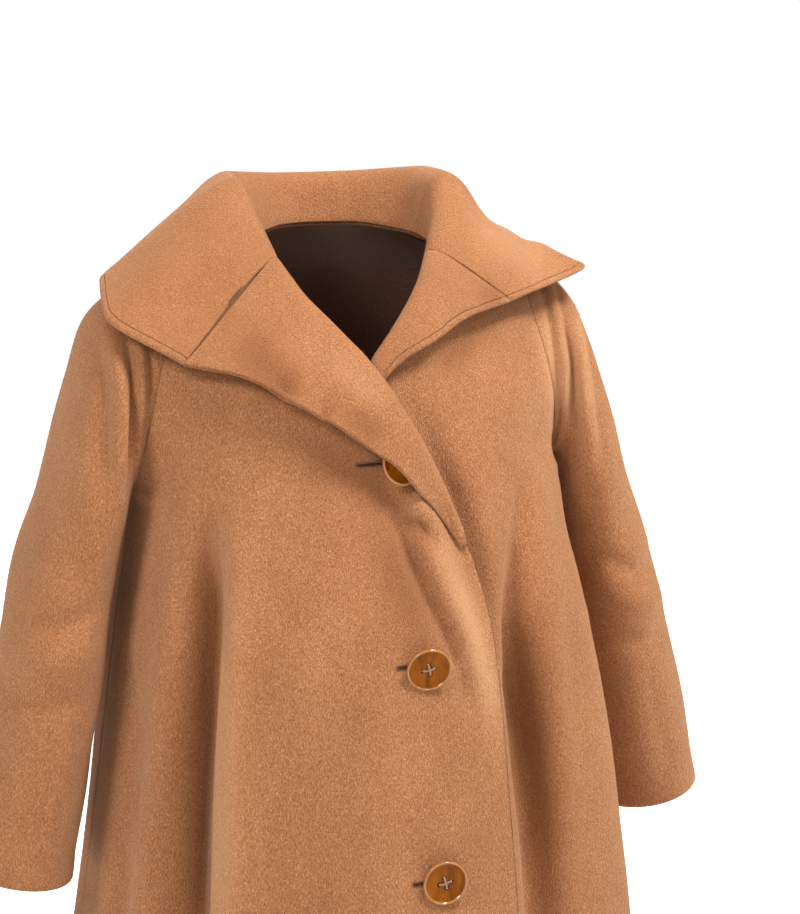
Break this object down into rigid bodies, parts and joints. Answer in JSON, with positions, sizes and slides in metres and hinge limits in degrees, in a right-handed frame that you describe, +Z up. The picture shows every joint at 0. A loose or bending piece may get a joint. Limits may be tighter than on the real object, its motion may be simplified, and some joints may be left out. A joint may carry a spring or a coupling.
{
  "type": "coat",
  "caption": "Flared swing coat with a wide turned-down collar, rolled lapels, set-in sleeves and a buttoned overlapping front, in the hollow form it has when worn",
  "frame": {"origin": "middle of the neck base, level with the neck points of the two shoulder seams, where the wearer's shoulders hold the coat", "axes": "+Z up along the wearer, -Y is the way the coat faces, +X is the viewer's right (the wearer's left)"},
  "size_m": [0.769, 0.5404, 1.0108],
  "materials": {
    "coating": "napped camel wool velour, soft and matt with a pale sheen",
    "lining": "smooth dark brown satin lining",
    "button": "polished amber brown, like horn"
  },
  "bodies": {
    "root": {"front_right": "coating", "front_left": "coating", "back": "coating", "sleeve_right": "coating", "sleeve_left": "coating", "under_collar": "coating", "collar": "coating", "facing_right": "coating", "facing_left": "coating", "lining": "lining", "button_1": "button", "button_2": "button", "button_3": "button"}
  },
  "joints": []
}
